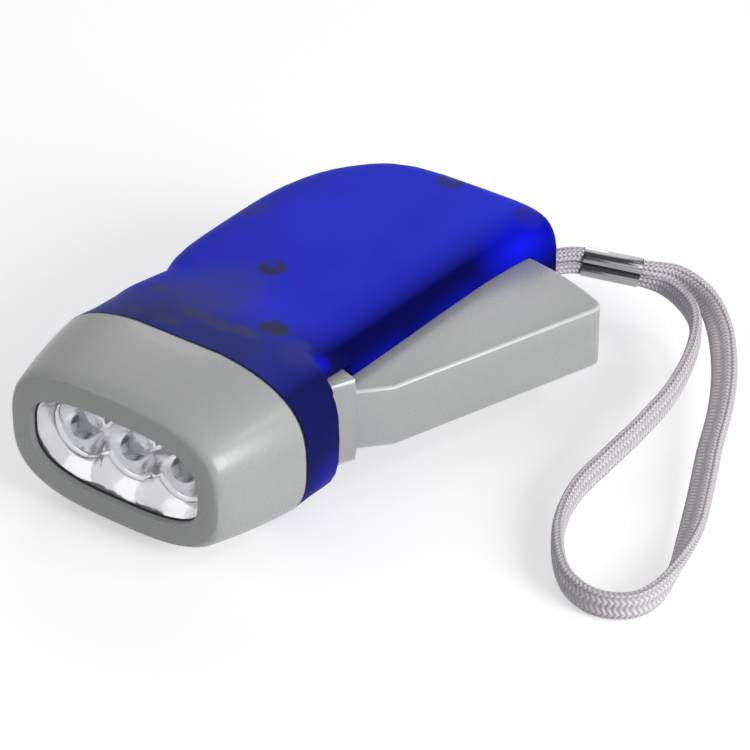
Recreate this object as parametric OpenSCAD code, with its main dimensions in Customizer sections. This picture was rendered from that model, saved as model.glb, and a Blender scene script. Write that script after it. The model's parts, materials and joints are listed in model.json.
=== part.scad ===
// Squeeze-powered torch: a two-part case, a lamp head and a hinged lever that drives a small generator.
// +X is the beam, +Y the lever side, +Z up. The torch lies on the flat of its lower shell at z = 0.

/* [Case] */
// Thickness of the case at the head, down to the flat it lies on
case_t = 31; // [29:0.5:34]
// How much lower the grip's top lies than the ring's
grip_drop = 2.3; // [1.6:0.1:2.4]
// Length of the case behind the lamp head
case_len = 80; // [78:0.5:86]
// Wall of the two shells
wall = 1.8; // [1.5:0.1:2.2]
// Distance from the centre line to the grip's plain side
grip_far = 24.5; // [23.5:0.5:27]
// Distance from the centre line to the waist on the lever side
waist_near = 22.4; // [22:0.2:23.4]
// Distance from the centre line to the waist on the plain side
waist_far = 21.6; // [21:0.2:23]
// Distance from the head joint to the waist on the plain side
waist_d = 21.5; // [20:0.5:23]
// Length of the full-width ring behind the head, on the lever side
ring_len = 8.8; // [7.4:0.2:9.6]
// Rounding of the tail's upper and lower edges
tail_edge_r = 7; // [5:0.5:9]

/* [Lamp head] */
// Width of the head where it meets the case
head_w = 54; // [52:0.5:58]
// Length of the grey bezel
bezel_len = 18.7; // [18:0.1:21]
// Width of the bezel's front
front_w = 44.6; // [43:0.2:48]
// Height of the bezel's front
front_t = 25; // [23:0.1:27]
// Width of the flat rim round the window
rim_w = 4.1; // [3.8:0.1:5]
// Thickness of the clear window
lens_t = 1.4; // [1:0.1:1.8]
// Thickness of the dark gasket in front of the window
gasket_t = 0.4; // [0.3:0.05:0.6]
// Diameter of one lamp
led_d = 5; // [4:0.1:5.2]
// Length of one lamp
led_len = 8.6; // [8:0.1:9]
// Distance between neighbouring lamps
led_pitch = 11; // [10:0.1:11.5]
// Thickness of the lamp board
board_t = 1.6; // [1:0.1:2]

/* [Lever] */
// Angle that the lever swings from open to squeezed
lever_open = 19; // [15:0.5:20]
// Distance from the hinge pin to the outer face
lever_rise = 8.3; // [7.5:0.1:9]
// Thickness of the paddle
lever_t = 12; // [11:0.2:12.4]
// Thickness of the knuckle round the hinge
knuckle_t = 16.5; // [16:0.1:17.5]
// Wall of the hollow paddle
lever_wall = 1.8; // [1.4:0.1:2]
// Diameter of the hinge pin
pin_d = 3; // [2.4:0.1:3.4]
// Wire diameter of the return spring
spring_wire = 0.8; // [0.6:0.05:0.85]

/* [Gear train] */
// Tooth module of the lever's rack and the first pinion
rack_module = 1; // [1:0.01:1.04]
// Teeth on the first pinion
first_pinion_teeth = 10; // [10:1:11]
// Tooth module of the first wheel and the second pinion
first_module = 0.7; // [0.68:0.01:0.72]
// Teeth on the first wheel
first_wheel_teeth = 38; // [36:1:39]
// Teeth on the second pinion
second_pinion_teeth = 10; // [10:1:11]
// Tooth module of the second wheel and the rotor pinion
second_module = 0.6; // [0.58:0.01:0.62]
// Teeth on the second wheel
second_wheel_teeth = 30; // [28:1:31]
// Teeth on the rotor pinion
rotor_pinion_teeth = 10; // [10:1:11]
// Diameter of the gear shafts
shaft_d = 2; // [1.6:0.1:2.2]
// Face width of the wheels
wheel_face = 2.4; // [2:0.1:2.6]

/* [Generator] */
// Diameter of the steel can
can_d = 20; // [19:0.2:20.4]
// Height of the steel can
can_h = 8.4; // [8:0.1:8.8]
// Diameter of the ring magnet
magnet_d = 11.6; // [10.5:0.1:12]
// Number of pole fingers round the magnet
pole_fingers = 8; // [6:2:10]

/* [Storage cell] */
// Diameter of the coin cell
cell_d = 12.5; // [11.6:0.1:13]
// Thickness of the coin cell
cell_t = 2.5; // [2:0.1:2.8]

/* [Fasteners and strap] */
// Outer diameter of the screw bosses
boss_d = 5.2; // [4.8:0.1:5.4]
// Thread diameter of the case screws
screw_d = 2.2; // [2:0.1:2.4]
// Head diameter of the case screws
screw_head_d = 4; // [3.6:0.1:4.2]
// Width of the braided strap
strap_w = 5; // [4:0.1:5.2]
// Thickness of the braided strap
strap_t = 2.2; // [1.8:0.1:2.4]
// Length of the steel ferrule
ferrule_len = 11; // [9:0.5:11]

/* [Hidden] */
$fn = 48;

// Clearances
joint_gap = 0.15;
head_gap = 0.3;
slide_gap = 0.3;
run_gap = 0.05;
seat_gap = 0.02;
tooth_slack = 0.14;
over = 1;

// Case sections: the resting flat cuts a slightly crowned form
crown = 0.3;
tail_drop = 0.8;
half_t = case_t / 2 + crown;
head_n = 2.8;
top_n = 5;
belly_n = 3.2;
ring_sides = 40;
tail_far_d = 45;
corner_d = case_len - 5.8;
tip_y = 14;
near_fold = 4;
flare_d = ring_len + near_fold + 2;
tail_flare = head_w / 2 - waist_near;
near_rise = 1.5;
inner_t = case_t / 2 - wall;
top_in = inner_t - grip_drop - tail_drop;
boss_top = case_t / 2 - 1.2;

// The row's origin lies under the grip, on the resting flat
origin_x = 30;

// Lever, in its squeezed pose about the hinge pin
pin_x = -9.5;
pin_y = waist_near - 4.9;
pin_len = 2 * (inner_t - 2.7);
lever_reach = case_len - 19.6;
hub_r = 5;
inner_edge = 3.5;
kink_x = 14.4;
step_x = 8.4;
step_y = 5.7;
knuckle_front = [-1.85, 4.75];
tail_corner_r = 2.5;
spring_r = pin_d / 2 + spring_wire / 2 + 0.4;
spring_pocket_r = spring_r + spring_wire / 2 + 0.5;
spring_pocket_h = 6.8;
slot_front_x = -ring_len - 0.2;
slot_step_x = -18.6;

// Gear positions follow from the rack and the tooth counts
rack_r = 42;
rack_t = 4;
rack_back = 3.5;
rack_teeth = round(2 * rack_r / rack_module);
rack_pitch_r = rack_teeth * rack_module / 2;
first_angle = 22;
first_dist = rack_pitch_r - first_pinion_teeth * rack_module / 2;
first_at = [pin_x - first_dist * cos(first_angle), pin_y - first_dist * sin(first_angle)];
second_angle = -19.5;
second_dist = (first_wheel_teeth + second_pinion_teeth) * first_module / 2;
second_at = first_at + second_dist * [cos(second_angle), sin(second_angle)];
rotor_angle = -33;
rotor_dist = (second_wheel_teeth + rotor_pinion_teeth) * second_module / 2;
rotor_at = second_at + rotor_dist * [cos(rotor_angle), sin(rotor_angle)];
shaft_r = shaft_d / 2;
gear_bore_r = shaft_r + run_gap;
first_wheel_z = -10.2;
second_wheel_z = first_wheel_z + wheel_face + 0.8;
pinion_face = wheel_face + 0.8;
rack_pinion_face = rack_t + 1;
first_hub_r = 3.4;
plate_z = lever_t / 2 + 0.6;
plate_t = 1.6;
plate_arm_w = 6;
post_r = 2.2;
post_at = [[-52, -13], [-31, -17], [-6.6, -14]];
post_hole_r = 0.75;
plate_head_d = 3.4;
plate_head_t = 1.2;
plate_screw_len = 5;

// Generator
can_wall = 0.8;
can_z = plate_z - can_h;
can_r = can_d / 2;
magnet_r = magnet_d / 2;
air_gap = 0.5;
finger_t = 0.6;
rotor_hub_r = 2.2;
bobbin_in_r = magnet_r + air_gap + finger_t + 0.15;
bobbin_out_r = can_r - can_wall - 0.15;
bobbin_wall = 0.5;

// Storage cell
cell_at = [19 - case_len, -4];
holder_wall = 1.1;
holder_floor = 0.8;
holder_top = top_in - 0.1;

// Screws and strap
case_screw_at = [[7.5 - case_len, 5.5], [-45, -19], [-12, 9.3]];
screw_seat_z = -10.5;
screw_len = 16;
pilot_depth = 9;
strap_pin_at = [6 - case_len, head_w / 2 - 7];
strap_pin_d = 2.5;
strap_pin_len = 2 * (top_in - 0.8);
strap_neck_w = 2.5;
ferrule_wall = 0.35;
strap_sides = 8;

// Strap route from the strap pin to the floor and back: x and y from the pin, z from the floor, and width
neck_low = case_t / 2 - 1.3;
neck_high = case_t / 2 + 1.3;
strap_route = [
  [0, 0, neck_low, strap_neck_w], [-4.5, 3.6, neck_low, strap_neck_w],
  [-9, 7.5, neck_low - 0.5, strap_neck_w], [-14.5, 17, neck_low - 2.5, strap_neck_w],
  [-15.5, 23, 11, strap_w - 1], [-11, 30.5, 10.5, strap_w], [-2.5, 35.5, 9.5, strap_w],
  [9, 38.5, 8, strap_w], [20, 39, 6.5, strap_w], [30, 38.5, 5, strap_w], [39.5, 38.5, 4, strap_w],
  [47.5, 40.5, 3, strap_w], [54.5, 44.5, 2.7, strap_w], [60.5, 50, 2.7, strap_w],
  [63, 55.5, 2.7, strap_w], [62.5, 60, 2.7, strap_w], [59.5, 63.5, 2.7, strap_w],
  [54, 64.5, 2.7, strap_w], [46, 63, 2.7, strap_w], [37, 60, 3, strap_w], [26.5, 55.5, 3.5, strap_w],
  [16.5, 51, 4.5, strap_w], [6.5, 47, 6, strap_w], [-3, 42, 7.5, strap_w], [-12, 35.5, 9, strap_w],
  [-17.5, 29, 10.5, strap_w], [-18.5, 22.5, 12.5, strap_w - 1],
  [-14.5, 17, neck_high - 2.4, strap_neck_w], [-9, 7.5, neck_high - 0.4, strap_neck_w],
  [-4.5, 3.6, neck_high, strap_neck_w], [0, 0, neck_high, strap_neck_w]];

// Leads inside the case, about the case's middle plane
lead_d = 1.2;
lead_sides = 6;
coil_lead = [for (x = [-7.3, -3, 1, 4.95]) [x, -8.5, -1]];
lead_z = plate_z + plate_t + 1.1;
cell_lead_from = [cell_at.x + 6.7, cell_at.y, holder_top - 2];
cell_lead = [cell_lead_from, cell_lead_from + [2, -0.5, 0.5], [-46, -6, lead_z], [-36, -8, lead_z],
  [-24, -10, lead_z], [-10, -8, lead_z], [-3, -7, lead_z], [0, -6.5, lead_z - 0.6], [2.2, -6, 7.2],
  [3.4, -6, 6.4], [4.95, -6, 6.4]];
lead_apart = 1.6;

// Shape helpers
function ease(t) = let (c = max(0, min(1, t))) c * c * (3 - 2 * c);
function spow(v, e) = sign(v) * pow(abs(v), e);
function unit(v) = v / norm(v);
function polar(r, a) = [-r * cos(a), r * sin(a)];
function arc(r, from, to, steps) = [for (k = [0:steps]) polar(r, from + (to - from) * k / steps)];
function squircle(w, t, n, sides = 64) = [for (k = [0:sides - 1]) let (a = 360 * k / sides)
  [w / 2 * spow(cos(a), 2 / n), t / 2 * spow(sin(a), 2 / n)]];

// Outline of the case at distance d behind the head joint, drawn in by w
function near_flare(s) = near_rise * pow(s, 0.7) + (tail_flare - near_rise) * pow(s, 7);
function near_side(d, w) = d < corner_d
  ? waist_near - w + (head_w / 2 - waist_near) * (1 - ease((d - ring_len) / near_fold))
    + near_flare(max(0, (d - flare_d) / (corner_d - flare_d)))
  : tip_y + (head_w / 2 - w - tip_y)
    * sqrt(max(0, 1 - pow((d - corner_d) / (case_len - w - corner_d), 2)));
function far_side(d, w) = d < waist_d
  ? waist_far - w + (head_w / 2 - waist_far) * (1 - pow(max(0, d) / waist_d, 1.1))
  : d < tail_far_d
  ? grip_far - w - (grip_far - waist_far) * pow(1 - (d - waist_d) / (tail_far_d - waist_d), 5)
  : (grip_far - w + tip_y)
    * pow(max(0, 1 - pow((d - tail_far_d) / (case_len - w - tail_far_d), 2.8)), 1 / 2.8) - tip_y;
function side_t(d, w) = let (e = d - (case_len - w - tail_edge_r))
  half_t - w - (e > 0 ? tail_edge_r - sqrt(max(0, tail_edge_r * tail_edge_r - e * e)) : 0);
function behind_head(d) = ease((d - spigot_len) / (waist_d - spigot_len));
function top_drop(d) = grip_drop * behind_head(d)
  + tail_drop * max(0, (d - waist_d) / (case_len - waist_d));
function case_ring(d, w, x, low) = let (
  a = (near_side(d, w) + far_side(d, w)) / 2,
  c = (near_side(d, w) - far_side(d, w)) / 2,
  b = side_t(d, w) - (low ? 0 : top_drop(d)),
  n = head_n + ((low ? belly_n : top_n) - head_n) * behind_head(d))
  [for (k = [0:ring_sides - 1]) let (t = 360 * k / ring_sides)
    [x, c + a * spow(cos(t), 2 / n), b * spow(sin(t), 2 / n)]];
function stations(w) = concat(
  [0, ring_len / 2],
  [for (k = [0:4]) ring_len + near_fold * k / 4],
  [(flare_d + waist_d) / 2],
  [for (k = [0:6]) waist_d + (tail_far_d - waist_d) * pow(k / 6, 1.5)],
  [for (k = [1:16]) tail_far_d + (case_len - w - tail_far_d) * sin(90 * k / 16.3)]);
function head_ring(x, width, thick, n) = [for (p = squircle(width, thick, n)) [x, p.x, p.y]];

// Closed skin over a list of rings, with flat ends
module loft(rings) {
  n = len(rings[0]);
  m = len(rings);
  points = [for (r = rings) each r];
  sides = [for (i = [0:m - 2]) for (k = [0:n - 1]) let (
    a = i * n + k, b = i * n + (k + 1) % n, c = a + n, d = b + n) each [[a, b, d], [a, d, c]]];
  ends = [[for (k = [n - 1:-1:0]) k], [for (k = [0:n - 1]) (m - 1) * n + k]];
  polyhedron(points = points, faces = concat(sides, ends), convexity = 6);
}

// Tube of rings along a list of points: width across the upright, thickness across the side
function beside(path, gap) = [for (i = [0:len(path) - 1])
  path[i] + gap * unit(cross(heading(path, i), [0, 0, 1]))];
function heading(path, i) = unit(path[min(i + 1, len(path) - 1)] - path[max(i - 1, 0)]);
function tube_ring(p, t, tall, thick, sides) = let (
  s = unit(cross(t, [0, 0, 1])),
  u = cross(s, t))
  [for (k = [0:sides - 1]) let (a = 360 * (k + 0.5) / sides)
    p + thick / 2 * cos(a) * s + tall / 2 * sin(a) * u];
module tube(path, d, sides) {
  loft([for (i = [0:len(path) - 1]) tube_ring(path[i], heading(path, i), d, d, sides)]);
}

// Involute gear outline: half the tooth's angle at radius r, then all teeth round the circle
function inv(a) = tan(a) * 180 / PI - a;
function half_tooth(r, teeth, module_, slack) = let (
  rp = teeth * module_ / 2, rb = rp * cos(20))
  90 / teeth - slack / 4 / rp * 180 / PI + inv(20) - inv(acos(min(1, rb / r)));
function tooth_radii(teeth, module_, up, down) = let (rp = teeth * module_ / 2)
  [rp - down * module_, max(rp * cos(20), rp - down * module_ * 0.6), rp, rp + up * module_ * 0.55,
    rp + up * module_];
function flank(radii, at, side, teeth, module_, slack) = [for (r = radii)
  let (a = at + side * half_tooth(r, teeth, module_, slack)) r * [cos(a), sin(a)]];
function back_to_front(list) = [for (i = [len(list) - 1:-1:0]) list[i]];
function gear_outline(teeth, module_, up = 0.85, down = 1.15, slack = tooth_slack) = let (
  radii = tooth_radii(teeth, module_, up, down))
  [for (k = [0:teeth - 1]) let (at = 360 * k / teeth) each concat(
    flank(radii, at, -1, teeth, module_, slack),
    back_to_front(flank(radii, at, 1, teeth, module_, slack)))];

module gear(teeth, module_, face, turn) {
  rotate(turn) linear_extrude(face) polygon(gear_outline(teeth, module_));
}

// Everything inside the case is drawn about its middle plane
module at_case() {
  translate([origin_x, 0, case_t / 2]) children();
}
module at(p, z = 0) {
  translate([p.x, p.y, z]) children();
}
module at_hinge_open() {
  translate([pin_x, pin_y, 0]) rotate(-lever_open) children();
}
module slab(from, to) {
  translate([-case_len - over, -2 * head_w, from])
    cube([case_len + bezel_len + 2 * over, 4 * head_w, to - from]);
}

// Case
module case_form(w, low) {
  loft([for (d = stations(w)) case_ring(d, w, -d, low)]);
}
module case_skin(low) {
  difference() {
    case_form(0, low);
    loft(concat([case_ring(0, wall, over, low)], [for (d = stations(wall)) case_ring(d, wall, -d, low)]));
  }
}
module lever_slot(half) {
  intersection() {
    translate([pin_x, pin_y, -half]) cylinder(r = lever_reach + slide_gap, h = 2 * half, $fn = 120);
    translate([-case_len, pin_y, -half]) cube([case_len + slot_front_x, head_w, 2 * half]);
  }
}
module knuckle_slot() {
  half = knuckle_t / 2 + slide_gap;
  translate([slot_step_x, pin_y, -half]) cube([slot_front_x - slot_step_x, head_w, 2 * half]);
}
module strap_hole() {
  way = [strap_route[2].x - strap_route[0].x, strap_route[2].y - strap_route[0].y];
  at(strap_pin_at) rotate(atan2(way.y, way.x))
    translate([0, -strap_t / 2 - 0.6, -strap_neck_w - 0.6])
      cube([14, strap_t + 1.2, 2 * strap_neck_w + 1.2]);
}
module case_boss(p, from, r = boss_d / 2) {
  at(p, from) cylinder(r = r, h = boss_top - from);
}
module ring_lip() {
  translate([slot_front_x, pin_y + hub_r + slide_gap + 0.1, 0]) cube([1.4, head_w / 2, knuckle_t / 2 + 1]);
}
module half_case(low) {
  difference() {
    union() {
      case_skin(low);
      intersection() {
        children(0);
        case_form(wall / 2, low);
      }
    }
    lever_slot(lever_t / 2 + slide_gap);
    knuckle_slot();
    strap_hole();
    slab(case_t / 2, case_t);
    children(1);
  }
}

module upper_shell() {
  color("mediumblue") at_case() half_case(false) {
    union() {
      ring_lip();
      for (p = case_screw_at) case_boss(p, 0);
      case_boss([pin_x, pin_y], knuckle_t / 2 + slide_gap, pin_d / 2 + 1.6);
      case_boss(second_at, plate_z + plate_t + slide_gap);
      case_boss(cell_at, holder_top + seat_gap, cell_d / 3);
      case_boss(strap_pin_at, strap_neck_w + 1, boss_d / 2 - 0.2);
    }
    union() {
      slab(-case_t, joint_gap / 2);
      for (p = case_screw_at) at(p, -over) cylinder(d = screw_d - 0.1, h = pilot_depth + over);
      at([pin_x, pin_y], 0) cylinder(r = pin_d / 2 + seat_gap, h = pin_len / 2 + seat_gap);
      at(second_at, 0) cylinder(r = shaft_r + seat_gap, h = plate_z + plate_t + 3);
      at(strap_pin_at, 0) cylinder(d = strap_pin_d + 2 * seat_gap, h = strap_pin_len / 2);
    }
  }
}

module lower_shell() {
  color("mediumblue") at_case() mirror([0, 0, 1]) half_case(true) {
    union() {
      ring_lip();
      for (p = case_screw_at) case_boss(p, 0);
      case_boss([pin_x, pin_y], knuckle_t / 2 + slide_gap, pin_d / 2 + 1.6);
      case_boss(first_at, -first_wheel_z + slide_gap);
      case_boss(second_at, -first_wheel_z + 2 * slide_gap);
      case_boss(rotor_at, -second_wheel_z + 2 * slide_gap);
      for (p = post_at) case_boss(p, -plate_z, post_r);
      case_boss(strap_pin_at, strap_neck_w + 1, boss_d / 2 - 0.2);
    }
    union() {
      difference() {
        slab(-case_t, joint_gap / 2);
        for (p = post_at) case_boss(p, -plate_z, post_r);
      }
      for (p = case_screw_at) at(p, -over) cylinder(d = screw_d + 0.3, h = case_t);
      for (p = case_screw_at) at(p, -screw_seat_z) cylinder(d = screw_head_d + 0.5, h = case_t);
      at([pin_x, pin_y], 0) cylinder(r = pin_d / 2 + seat_gap, h = pin_len / 2 + seat_gap);
      for (p = [first_at, second_at, rotor_at]) at(p, 0) cylinder(r = shaft_r + seat_gap, h = inner_t);
      for (p = post_at) at(p, -plate_z - over) cylinder(r = post_hole_r, h = 7);
      at(strap_pin_at, 0) cylinder(d = strap_pin_d + 2 * seat_gap, h = strap_pin_len / 2);
    }
  }
}

module case_screws() {
  color("dimgray") at_case() for (p = case_screw_at) at(p, screw_seat_z) difference() {
    union() {
      translate([0, 0, -1.6]) cylinder(d = screw_head_d, h = 1.6);
      cylinder(d = screw_d - 0.2, h = screw_len);
    }
    for (a = [0, 90]) rotate(a) translate([-1.1, -0.3, -1.6 - over]) cube([2.2, 0.6, over + 0.9]);
  }
}

// Lamp head
lens_w = front_w - 2 * rim_w + 2.6;
lens_h = front_t - 2 * rim_w + 2.6;
opening_w = front_w - 2 * rim_w;
opening_h = front_t - 2 * rim_w;
rim_back = bezel_len - 1.3;
lens_front = rim_back - gasket_t;
lens_back = lens_front - lens_t;
pocket_x = lens_back - 1.2;
led_tip = lens_back - 0.4;
led_base = led_tip - led_len;
spigot_len = 4;
window_n = 3;

module across(x, h) {
  translate([x, 0, 0]) rotate([90, 0, 90]) linear_extrude(h) children();
}
function bezel_w(s) = head_w + (front_w + 1.2 - head_w) * (s + 0.35 * s * (s - 1));
function bezel_t(s) = 2 * half_t + (front_t + 1.2 - 2 * half_t) * (s + 0.35 * s * (s - 1));

module bezel() {
  flank_len = bezel_len - 1.2;
  color("darkgray") at_case() difference() {
    union() {
      difference() {
        loft(concat([
          head_ring(bezel_len, front_w - 1.2, front_t - 1.2, 3),
          head_ring(bezel_len - 0.25, front_w, front_t, 3)],
          [for (k = [8:-1:0]) let (s = k / 8)
            head_ring(head_gap + (flank_len - head_gap) * s, bezel_w(s), bezel_t(s), head_n + 0.2 * s)]));
        loft([
          head_ring(pocket_x, lens_w + 2.4, lens_h + 2.4, 3),
          head_ring(head_gap + 2, head_w - 2 * wall - 2, 2 * half_t - 2 * wall - 2, head_n),
          head_ring(-over, head_w - 2 * wall - 2, 2 * half_t - 2 * wall - 2, head_n)]);
        slab(case_t / 2, case_t);
        slab(-case_t, -case_t / 2);
      }
      difference() {
        loft([
          head_ring(head_gap + 1, head_w - 2 * wall - 2.4, 2 * half_t - 2 * wall - 0.6, head_n),
          head_ring(-spigot_len, head_w - 2 * wall - 4.6, 2 * half_t - 2 * wall - 0.6, head_n)]);
        loft([
          head_ring(2 * over, head_w - 2 * wall - 4.6, 2 * half_t - 2 * wall - 3.2, head_n),
          head_ring(-spigot_len - over, head_w - 2 * wall - 7.4, 2 * half_t - 2 * wall - 3.2, head_n)]);
      }
    }
    across(pocket_x - over, rim_back - pocket_x + over)
      polygon(squircle(lens_w + joint_gap, lens_h + joint_gap, window_n));
    across(rim_back - over, 4) polygon(squircle(opening_w, opening_h, window_n));
  }
}

module lens() {
  color([0.9, 0.95, 1, 0.35]) at_case() across(lens_back, lens_t)
    polygon(squircle(lens_w, lens_h, window_n));
}

module lens_gasket() {
  color("black") at_case() difference() {
    across(lens_front, gasket_t) polygon(squircle(lens_w, lens_h, window_n));
    across(lens_front - over, gasket_t + 2 * over)
      polygon(squircle(opening_w - 0.4, opening_h - 0.4, window_n));
  }
}

led_y = [-led_pitch, 0, led_pitch];
reflector_back = led_base + 1.7;
reflector_front = lens_back;

module reflector() {
  cup_back_r = led_d / 2 + 0.3;
  cup_front_r = led_pitch / 2 + 0.7;
  deep = reflector_front - reflector_back;
  color("silver") at_case() difference() {
    union() {
      across(reflector_back, deep) polygon(squircle(lens_w - 1.6, lens_h - 1.6, window_n));
      across(reflector_front - 1, 1) polygon(squircle(lens_w - 0.2, lens_h - 0.2, window_n));
      for (y = [-lens_w / 2 + 2.6, lens_w / 2 - 2.6]) translate([led_base, y, 0])
        rotate([0, 90, 0]) cylinder(r = 1.3, h = reflector_back - led_base + over);
    }
    for (y = led_y) translate([reflector_back, y, 0]) rotate([0, 90, 0]) {
      cylinder(r1 = cup_back_r, r2 = cup_front_r, h = deep + 0.01);
      translate([0, 0, -over]) cylinder(r = cup_back_r, h = 2 * over);
    }
  }
}

module led(y) {
  r = led_d / 2;
  color("white") at_case() translate([led_base, y, 0]) rotate([0, 90, 0]) {
    cylinder(r = r + 0.4, h = 1);
    cylinder(r = r, h = led_len - r);
    translate([0, 0, led_len - r]) sphere(r);
    for (s = [-1, 1]) translate([s * 1.27, 0, -board_t - 1]) cylinder(d = 0.5, h = board_t + 1 + 0.5);
  }
}
module led_1() { led(led_y[0]); }
module led_2() { led(led_y[1]); }
module led_3() { led(led_y[2]); }

module led_board() {
  color("green") at_case() difference() {
    across(led_base - board_t, board_t) polygon(squircle(lens_w - 1, lens_h + 1, 6));
    for (y = led_y) for (s = [-1, 1]) translate([led_base - board_t - over, y, -s * 1.27])
      rotate([0, 90, 0]) cylinder(d = 0.6, h = board_t + 2 * over);
  }
}

// Lever
function tail_corner(inset) = let (
  y = lever_rise - inset, r = lever_reach - inset, c = tail_corner_r - min(inset, tail_corner_r - 0.4),
  cy = y - c, cx = -sqrt((r - c) * (r - c) - cy * cy), turn = atan2(cy, -cx))
  [for (k = [0:6]) let (a = 90 + (90 - turn) * k / 6) [cx, cy] + c * [cos(a), sin(a)]];
function paddle(inset, tail_to) = let (
  r = lever_reach - inset, corner = tail_corner(inset), end = corner[6])
  concat([[-step_x - inset, step_y - inset], [-kink_x - inset * 0.5, lever_rise - inset]], corner,
    [for (k = [1:10]) let (from = atan2(end.y, -end.x)) polar(r, from + (tail_to - from) * k / 10)]);
tail_to = asin(inner_edge / lever_reach) - lever_open;

module rack() {
  pitch_a = 360 / rack_teeth;
  mesh_a = -first_angle - lever_open;
  tip_r = rack_pitch_r - 0.85 * rack_module;
  back_r = rack_pitch_r + rack_back;
  top_a = asin((lever_rise - lever_wall / 2) / back_r);
  low_a = mesh_a - pitch_a;
  radii = [tip_r - 0.5, rack_pitch_r - 0.4 * rack_module, rack_pitch_r, rack_pitch_r + 0.5 * rack_module,
    rack_pitch_r + 1.15 * rack_module];
  translate([0, 0, -rack_t / 2]) difference() {
    linear_extrude(rack_t) polygon(concat(arc(back_r, low_a, top_a, 24), arc(tip_r, top_a, low_a, 24)));
    for (k = [-1:ceil((lever_open + 6) / pitch_a)]) rotate(-mesh_a - k * pitch_a)
      translate([0, 0, -over]) linear_extrude(rack_t + 2 * over) polygon(concat(
        [for (r = radii) polar(r, half_tooth(r, rack_teeth, rack_module, -tooth_slack))],
        [for (r = back_to_front(radii)) polar(r, -half_tooth(r, rack_teeth, rack_module, -tooth_slack))]));
  }
}

module lever() {
  cavity = lever_t - 2 * lever_wall;
  color("darkgray") at_case() at_hinge_open() difference() {
    union() {
      difference() {
        translate([0, 0, -lever_t / 2]) linear_extrude(lever_t)
          polygon(concat(paddle(0, tail_to), [[-hub_r * 0.8, inner_edge]]));
        translate([0, 0, -cavity / 2]) linear_extrude(cavity) polygon(concat(
          paddle(lever_wall, tail_to - 4), [[-lever_reach / 2, -lever_reach / 2], [0, -hub_r]]));
      }
      translate([0, 0, -knuckle_t / 2]) linear_extrude(knuckle_t) polygon([
        knuckle_front, [-step_x, step_y], [-step_x, step_y - 4.5], [0, -hub_r + 2], hub_r * [0.34, 0.94]]);
      translate([0, 0, -knuckle_t / 2]) cylinder(r = hub_r, h = knuckle_t);
      rack();
    }
    translate([0, 0, -knuckle_t]) cylinder(r = pin_d / 2 + run_gap, h = 2 * knuckle_t);
    translate([0, 0, -spring_pocket_h / 2]) cylinder(r = spring_pocket_r, h = spring_pocket_h);
    translate([0, 0, -spring_pocket_h / 2]) linear_extrude(spring_pocket_h) polygon([
      [0, -hub_r - over], [-2, 2], [-step_x - lever_wall - 0.5, step_y - lever_wall], [-kink_x, -hub_r]]);
  }
}

module lever_pin() {
  color("silver") at_case() at([pin_x, pin_y], -pin_len / 2) cylinder(d = pin_d, h = pin_len);
}

// Torsion spring: a leg against a screw boss, the coil round the pin, a leg inside the paddle
spring_turns = 3.875;
spring_steps = 8;
spring_h = 4.8;
spring_leg_end = [-6.2, -9];
spring_lever_leg = [-17, 5.7];
function turned(p, a) = [p.x * cos(a) - p.y * sin(a), p.x * sin(a) + p.y * cos(a)];
spring_open_leg = turned(spring_lever_leg, -lever_open);
spring_path = concat(
  [[spring_leg_end.x, spring_leg_end.y, -spring_h / 2]],
  [for (k = [0:spring_turns * spring_steps]) let (a = 180 - 360 * k / spring_steps)
    [spring_r * cos(a), spring_r * sin(a), spring_h * (k / spring_turns / spring_steps - 0.5)]],
  [[spring_open_leg.x, spring_open_leg.y, spring_h / 2]]);
spring_gap = min([for (i = [1:len(spring_path) - 2]) for (k = [i + 4:1:len(spring_path) - 2])
  norm(spring_path[i] - spring_path[k])]) - spring_wire;
echo(spring_gap = spring_gap);

module lever_spring() {
  color("gainsboro") at_case() translate([pin_x, pin_y, 0]) tube(spring_path, spring_wire, 6);
}

// Gear train: each pair has a tooth facing a gap on the line of centres
module first_gear() {
  top = rack_pinion_face / 2;
  color("white") at_case() at(first_at) difference() {
    union() {
      translate([0, 0, first_wheel_z]) gear(first_wheel_teeth, first_module, wheel_face, second_angle);
      translate([0, 0, first_wheel_z]) cylinder(r = first_hub_r, h = -top - first_wheel_z);
      translate([0, 0, -top - 0.01])
        gear(first_pinion_teeth, rack_module, rack_pinion_face, 180 + first_angle);
    }
    translate([0, 0, first_wheel_z - over]) cylinder(r = gear_bore_r, h = 3 * case_t / 4);
  }
}

module second_gear() {
  color("ivory") at_case() at(second_at) difference() {
    union() {
      translate([0, 0, first_wheel_z - slide_gap])
        gear(second_pinion_teeth, first_module, pinion_face + slide_gap,
          second_angle + 180 + 180 / second_pinion_teeth);
      translate([0, 0, second_wheel_z - 0.01])
        gear(second_wheel_teeth, second_module, wheel_face, rotor_angle);
    }
    translate([0, 0, first_wheel_z - over]) cylinder(r = gear_bore_r, h = case_t / 2);
  }
}

module rotor_gear() {
  hub_top = can_z + can_h - can_wall - 0.6;
  color("white") at_case() at(rotor_at) difference() {
    union() {
      translate([0, 0, second_wheel_z - slide_gap])
        gear(rotor_pinion_teeth, second_module, pinion_face + slide_gap,
          rotor_angle + 180 + 180 / rotor_pinion_teeth);
      translate([0, 0, second_wheel_z + pinion_face - 0.01])
        cylinder(r = rotor_hub_r, h = hub_top - second_wheel_z - pinion_face);
    }
    translate([0, 0, second_wheel_z - over]) cylinder(r = gear_bore_r, h = case_t);
  }
}

module rotor_magnet() {
  color("dimgray") at_case() at(rotor_at, can_z + can_wall + 0.5) difference() {
    cylinder(r = magnet_r, h = can_h - 2 * can_wall - 1.2);
    translate([0, 0, -over]) cylinder(r = rotor_hub_r + seat_gap, h = can_h);
  }
}

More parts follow.
